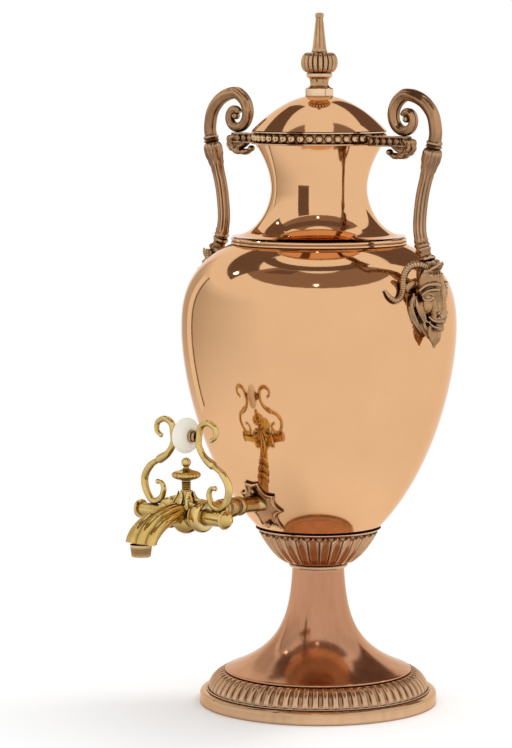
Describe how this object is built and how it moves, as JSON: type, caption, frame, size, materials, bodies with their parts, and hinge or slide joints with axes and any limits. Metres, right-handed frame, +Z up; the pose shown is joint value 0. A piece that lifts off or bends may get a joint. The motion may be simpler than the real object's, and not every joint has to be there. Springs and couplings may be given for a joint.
{
  "type": "tea urn",
  "caption": "Vase-shaped copper tea urn with ram-head handles, a lift-off lid, a heater well with its slug and a brass tap turned by a lyre-shaped lever.",
  "frame": {"origin": "centre of the base, on the table", "axes": "+Z up along the urn's axis, -Y towards the tap, +X towards the right handle seen from the tap"},
  "size_m": [0.2654, 0.3294, 0.5624],
  "materials": {
    "copper": "polished copper",
    "bronze": "cast and darkened bronze, polished on its high parts",
    "brass": "polished brass",
    "white_grip": "matte off-white, like turned bone",
    "iron": "rough casting",
    "leather": "greased packing leather"
  },
  "bodies": {
    "urn": {"base_ring": "copper", "gadroon_ring": "bronze", "foot": "copper", "stem_collar": "bronze", "calyx_cup": "copper", "bowl_shell": "copper", "shoulder_shell": "copper", "shoulder_ring": "copper", "neck_shell": "copper", "beaded_rim": "brass", "handle_right": "bronze", "handle_left": "bronze", "handle_clasp_right": "bronze", "handle_clasp_left": "bronze", "handle_foot_right": "bronze", "handle_foot_left": "bronze", "ram_head_right": "bronze", "ram_head_left": "bronze", "head_screws": "brass", "escutcheon": "copper", "escutcheon_rivets": "brass", "tap_saddle": "leather", "tap_shank": "brass", "tap_body": "brass", "spout_nozzle": "brass", "heater_well": "copper"},
    "lid": {"lid_dome": "copper", "lid_sleeve": "copper", "finial_base": "brass", "finial_ball": "brass", "finial_spire": "brass", "finial_stud": "brass", "finial_nut": "brass"},
    "lever": {"tap_plug": "brass", "crossbar_flange": "brass", "crossbar_knob": "brass", "lyre_arm_right": "brass", "lyre_arm_left": "brass", "grip_bead": "white_grip", "bead_spindle": "brass"},
    "pad": {"packing_pad": "leather"},
    "screw": {"screw_stem": "brass", "tension_screw": "brass"},
    "cover": {"well_cover": "copper", "cover_knob": "brass"},
    "slug": {"heater_slug": "iron", "slug_eye": "iron"}
  },
  "joints": [
    {"name": "lid_lift", "type": "slide", "parent": "urn", "child": "lid", "axis": [0, 0, 1], "range_m": [0, 0.13]},
    {"name": "lever_swing", "type": "hinge", "parent": "urn", "child": "lever", "pos_m": [0, -0.157, 0.1721], "axis": [1, 0, 0], "range_deg": [0, 75]},
    {"name": "pad_rise", "type": "slide", "parent": "urn", "child": "pad", "axis": [0, 0, 1], "range_m": [0, 0.002]},
    {"name": "screw_turn", "type": "hinge", "parent": "pad", "child": "screw", "pos_m": [0, -0.157, 0.1921], "axis": [0, 0, 1], "range_deg": [0, 720.5]},
    {"name": "slug_lift", "type": "slide", "parent": "urn", "child": "slug", "axis": [0, 0, 1], "range_m": [0, 0.07]},
    {"name": "cover_lift", "type": "slide", "parent": "urn", "child": "cover", "axis": [0, 0, 1], "range_m": [0, 0.0876]}
  ],
  "couplings": [
    {"joint": "screw_turn", "follows": "pad_rise", "rad_per_m": 6283.2},
    {"joint": "cover_lift", "follows": "slug_lift", "ratio": 1.25}
  ]
}
